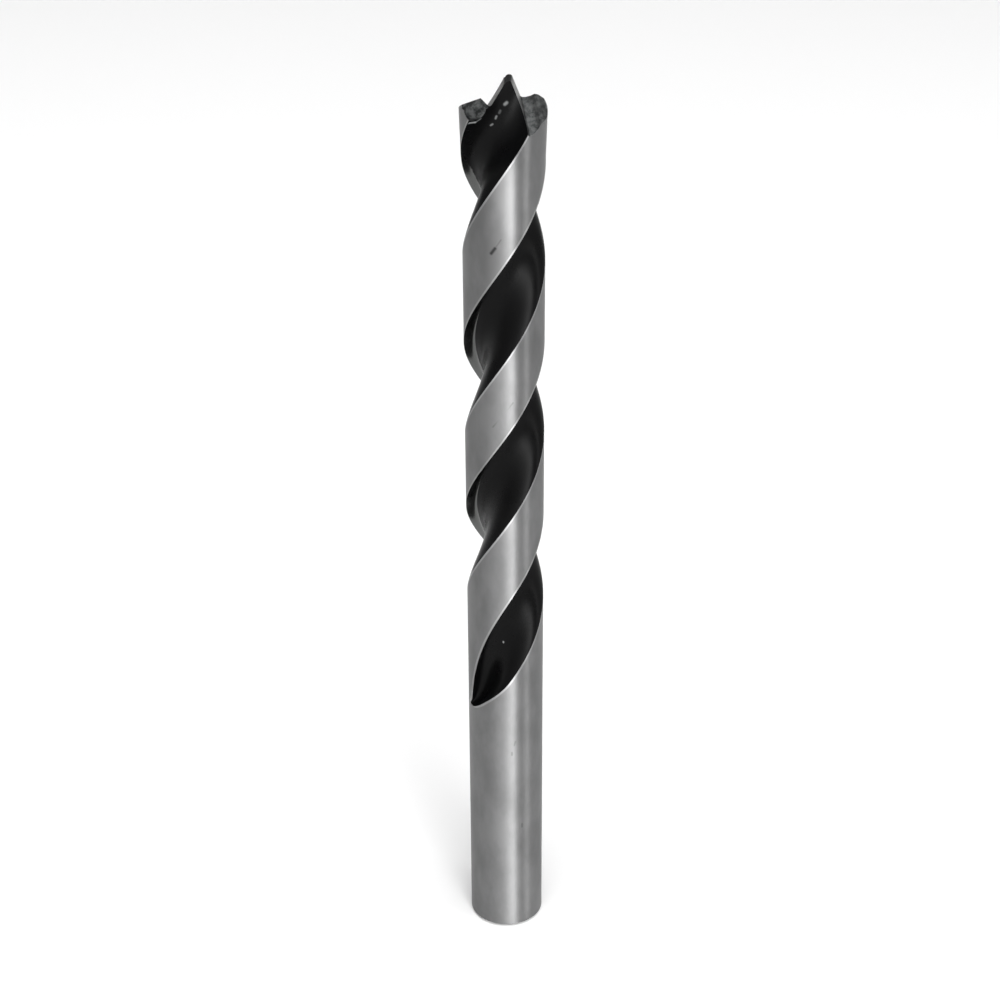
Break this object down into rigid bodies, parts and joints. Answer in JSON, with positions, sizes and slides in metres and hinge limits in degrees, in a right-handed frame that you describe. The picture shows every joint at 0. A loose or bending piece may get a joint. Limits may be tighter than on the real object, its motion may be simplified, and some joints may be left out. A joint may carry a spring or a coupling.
{
  "type": "brad point drill bit",
  "caption": "Brad point drill bit for wood: round bar with right-hand helical flutes, a centring brad, relieved cutting lips and a plain round shank for a chuck",
  "frame": {"origin": "centre of the flat end of the shank, which the bit stands on", "axes": "+Z along the bit's axis from the shank end to the brad, +Y away from the camera, +X to the camera's right"},
  "size_m": [0.0104, 0.01, 0.1197],
  "materials": {
    "steel": "satin ground lands, shank and point; the flutes are left black from heat treatment"
  },
  "bodies": {
    "root": {"drill_bit": "steel"}
  },
  "joints": []
}
